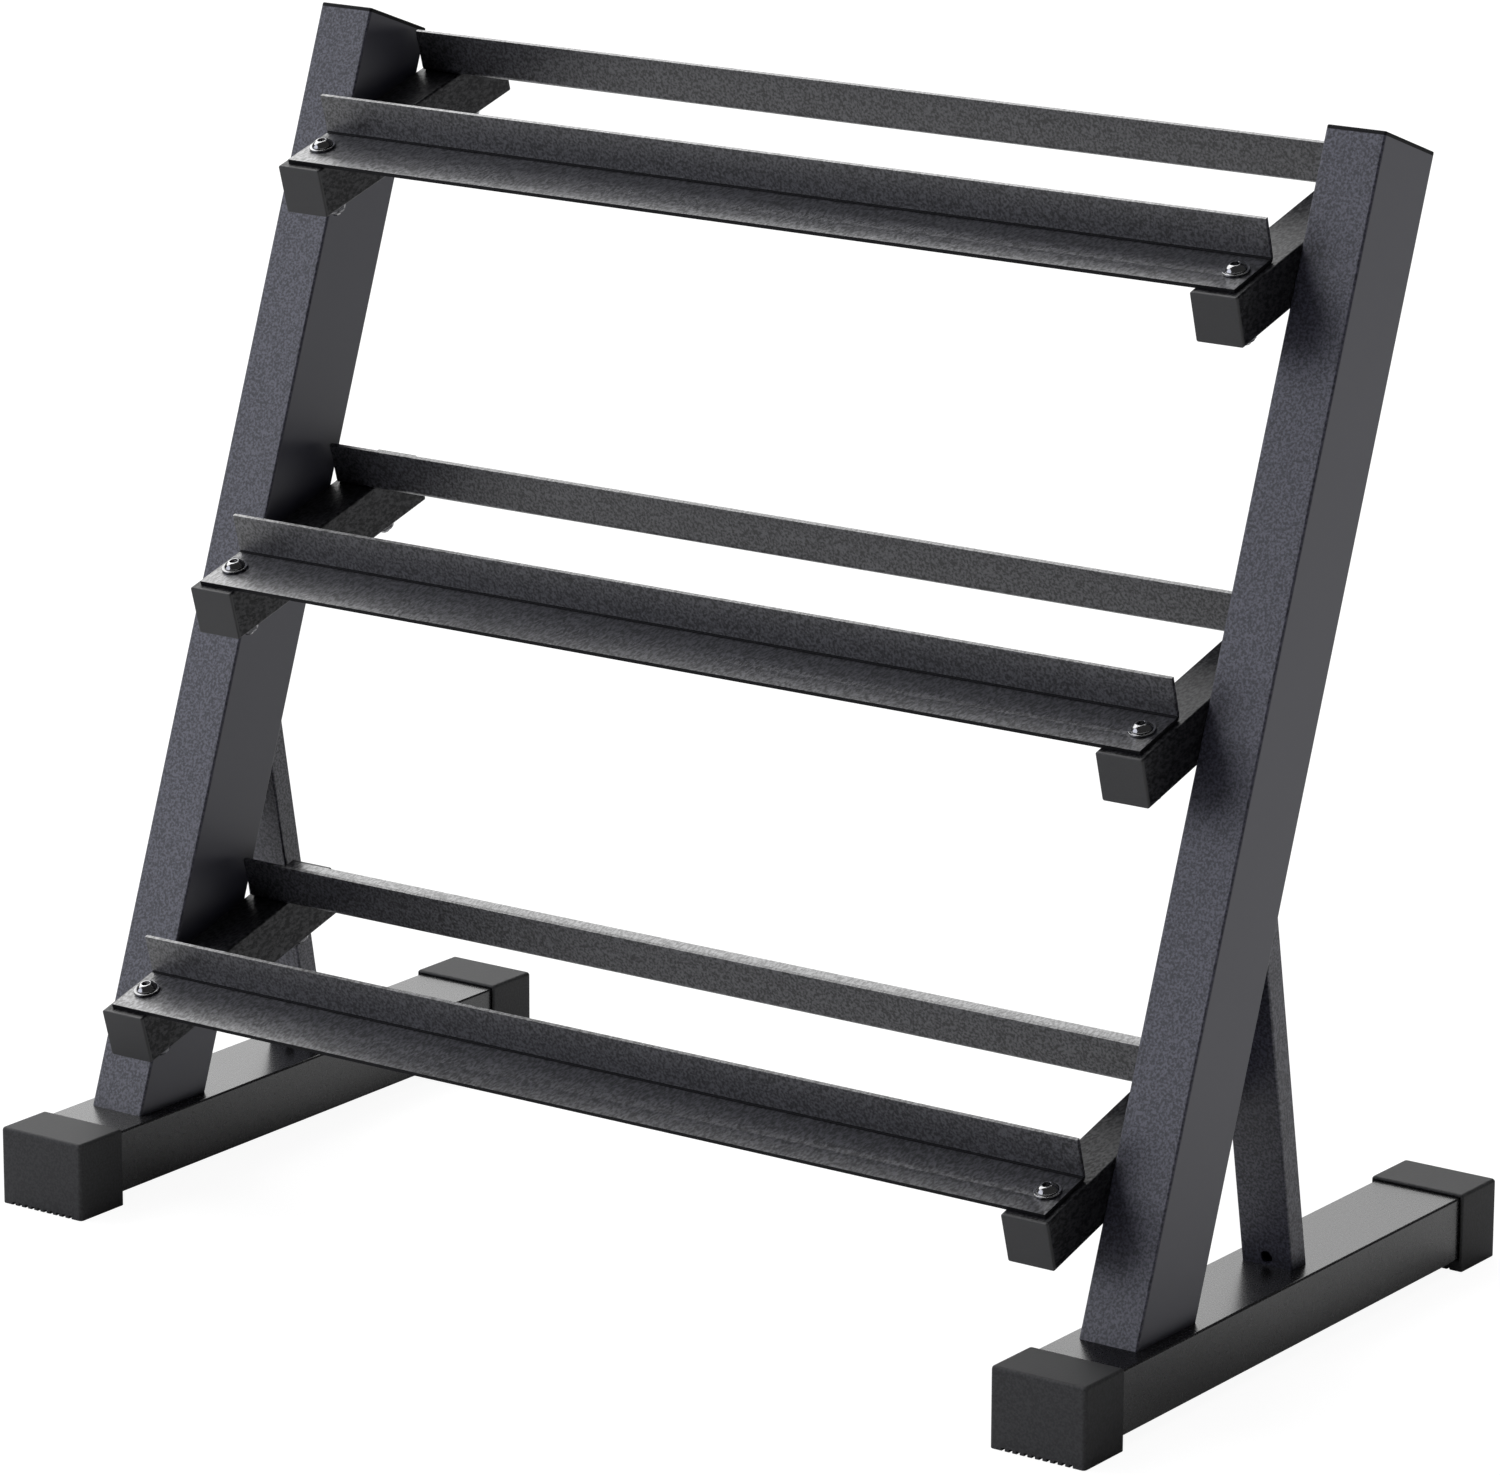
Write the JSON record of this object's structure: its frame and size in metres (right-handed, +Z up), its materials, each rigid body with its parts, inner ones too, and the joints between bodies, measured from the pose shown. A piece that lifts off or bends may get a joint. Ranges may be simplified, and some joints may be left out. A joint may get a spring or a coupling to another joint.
{
  "type": "dumbbell rack",
  "caption": "Free-standing tiered dumbbell rack: leaning side frames joined by bolted angle rails that carry dumbbells by their handles.",
  "frame": {"origin": "on the floor, under the middle of the rack", "axes": "+X to the rack's right seen from the front, +Y to the back, +Z up"},
  "size_m": [0.81, 0.464, 0.7213],
  "materials": {
    "frame_paint": "textured powder coat, charcoal",
    "base_rail_paint": "satin powder coat, charcoal",
    "shelf_paint": "grained powder coat, near black",
    "boot_plastic": "moulded, fine matt grain",
    "plug_plastic": "moulded, smooth matt",
    "bolt_steel": "polished black",
    "washer_steel": "black zinc",
    "nut_steel": "bright zinc"
  },
  "bodies": {
    "root": {"left_base_rail": "base_rail_paint", "right_base_rail": "base_rail_paint", "left_upright": "frame_paint", "right_upright": "frame_paint", "left_brace": "frame_paint", "right_brace": "frame_paint", "left_bottom_arm": "frame_paint", "left_middle_arm": "frame_paint", "left_top_arm": "frame_paint", "right_bottom_arm": "frame_paint", "right_middle_arm": "frame_paint", "right_top_arm": "frame_paint", "bottom_front_shelf_rail": "shelf_paint", "middle_front_shelf_rail": "shelf_paint", "top_front_shelf_rail": "shelf_paint", "bottom_rear_shelf_rail": "shelf_paint", "middle_rear_shelf_rail": "shelf_paint", "top_rear_shelf_rail": "shelf_paint", "left_front_boot": "boot_plastic", "left_rear_boot": "boot_plastic", "right_front_boot": "boot_plastic", "right_rear_boot": "boot_plastic", "left_upright_plug": "plug_plastic", "right_upright_plug": "plug_plastic", "left_bottom_arm_front_plug": "plug_plastic", "left_middle_arm_front_plug": "plug_plastic", "left_top_arm_front_plug": "plug_plastic", "right_bottom_arm_front_plug": "plug_plastic", "right_middle_arm_front_plug": "plug_plastic", "right_top_arm_front_plug": "plug_plastic", "left_bottom_arm_rear_plug": "plug_plastic", "left_middle_arm_rear_plug": "plug_plastic", "left_top_arm_rear_plug": "plug_plastic", "right_bottom_arm_rear_plug": "plug_plastic", "right_middle_arm_rear_plug": "plug_plastic", "right_top_arm_rear_plug": "plug_plastic", "bottom_tier_bolts": "bolt_steel", "middle_tier_bolts": "bolt_steel", "top_tier_bolts": "bolt_steel", "bottom_tier_head_washers": "washer_steel", "middle_tier_head_washers": "washer_steel", "top_tier_head_washers": "washer_steel", "bottom_tier_nut_washers": "washer_steel", "middle_tier_nut_washers": "washer_steel", "top_tier_nut_washers": "washer_steel", "bottom_tier_lock_nuts": "nut_steel", "middle_tier_lock_nuts": "nut_steel", "top_tier_lock_nuts": "nut_steel"}
  },
  "joints": []
}
